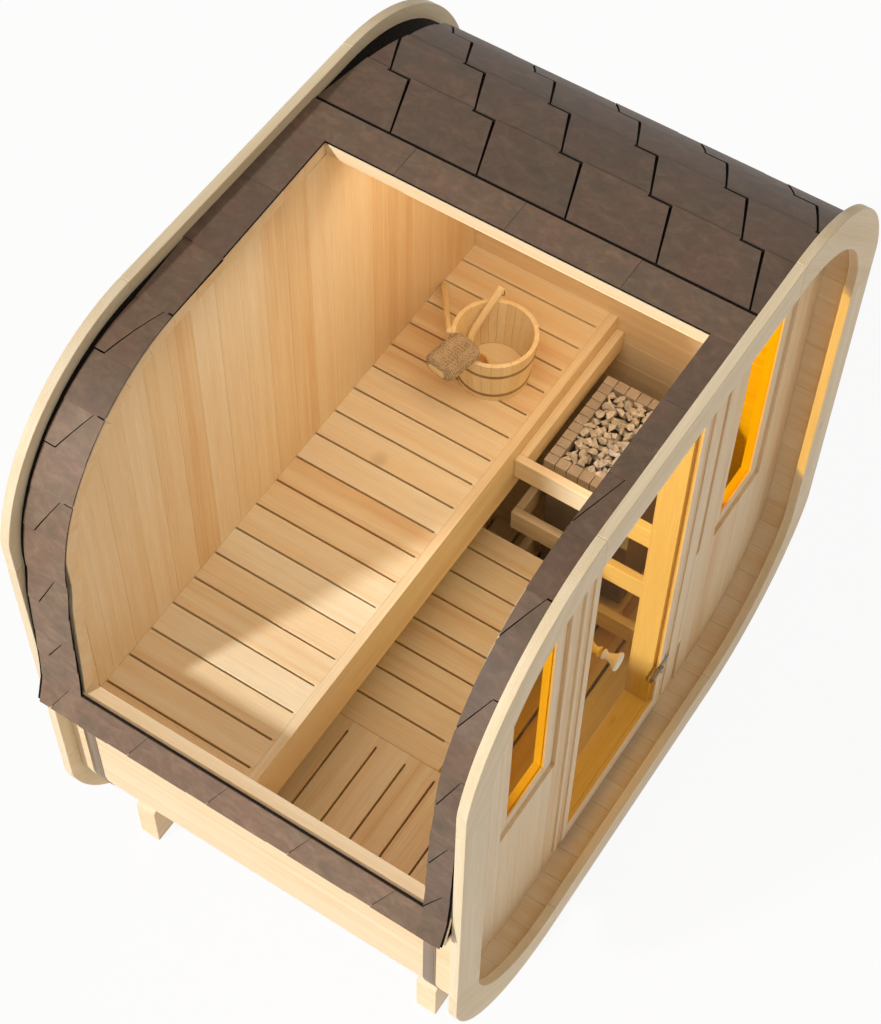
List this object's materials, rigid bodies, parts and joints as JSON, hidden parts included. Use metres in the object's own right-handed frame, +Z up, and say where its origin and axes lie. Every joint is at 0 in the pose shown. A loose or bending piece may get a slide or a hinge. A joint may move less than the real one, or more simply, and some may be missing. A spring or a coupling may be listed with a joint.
{
  "type": "cube sauna",
  "caption": "Rounded-square timber sauna cabin on cradle beams, shingled roof cut open to show slatted benches, guarded heater, bucket and a hinged glass door.",
  "frame": {"origin": "centre of the footprint on the ground", "axes": "+Z up, front with the door faces -Y, +X to the right when facing the front"},
  "size_m": [2.154, 1.36, 2.281],
  "materials": {
    "beam_wood": "sawn softwood",
    "ring_wood": "planed softwood",
    "stave_wood": "planed softwood staves",
    "wall_wood": "planed tongue and groove boards",
    "trim_wood": "planed softwood",
    "bench_wood": "sanded pale hardwood",
    "bucket_wood": "oiled wood",
    "bitumen_shingle": "mineral grit on bitumen felt",
    "strap_steel": "dark coated steel band",
    "hinge_steel": "satin",
    "amber_glass": "tinted",
    "bronze_glass": "tinted toughened glass",
    "heater_enamel": "satin tiles",
    "stone": "broken stone",
    "sisal": "knitted plant fibre"
  },
  "bodies": {
    "cabin": {"foot_beams": "beam_wood", "front_ring_boards": "ring_wood", "front_ring_corners": "ring_wood", "back_ring_boards": "ring_wood", "back_ring_corners": "ring_wood", "shell_bottom": "stave_wood", "shell_lower_corners": "stave_wood", "shell_right_wall": "stave_wood", "shell_right_corner": "stave_wood", "shell_roof": "stave_wood", "shell_left_wall": "stave_wood", "shell_front_hoop": "stave_wood", "shell_back_hoop": "stave_wood", "roof_shingles": "bitumen_shingle", "right_wall_shingles": "bitumen_shingle", "ridge_cap": "bitumen_shingle", "front_hoop_shingles": "bitumen_shingle", "back_hoop_shingles": "bitumen_shingle", "left_wall_shingles": "bitumen_shingle", "steel_straps": "strap_steel", "front_wall_left": "wall_wood", "front_wall_right": "wall_wood", "front_wall_over_door": "wall_wood", "back_wall": "wall_wood", "door_jamb_left": "trim_wood", "door_jamb_right": "trim_wood", "door_head": "trim_wood", "door_sill": "trim_wood", "window_casings": "trim_wood", "window_panes": "amber_glass", "hinge_frame_plates": "hinge_steel", "floor_boards": "bench_wood", "upper_bench": "bench_wood", "bench_fascia": "bench_wood", "lower_bench": "bench_wood", "lower_bench_return": "bench_wood", "heater_stand": "bench_wood", "heater_body": "heater_enamel", "heater_stones": "stone", "heater_guard": "bench_wood", "bucket": "bucket_wood", "ladle": "bucket_wood", "bath_brush": "sisal"},
    "door": {"door_glass": "bronze_glass", "door_clamps": "hinge_steel", "door_knobs": "bucket_wood"}
  },
  "joints": [
    {"name": "door_hinge", "type": "hinge", "parent": "cabin", "child": "door", "pos_m": [0.256, -0.593, 1.208], "axis": [0, 0, 1], "range_deg": [0, 100]}
  ]
}
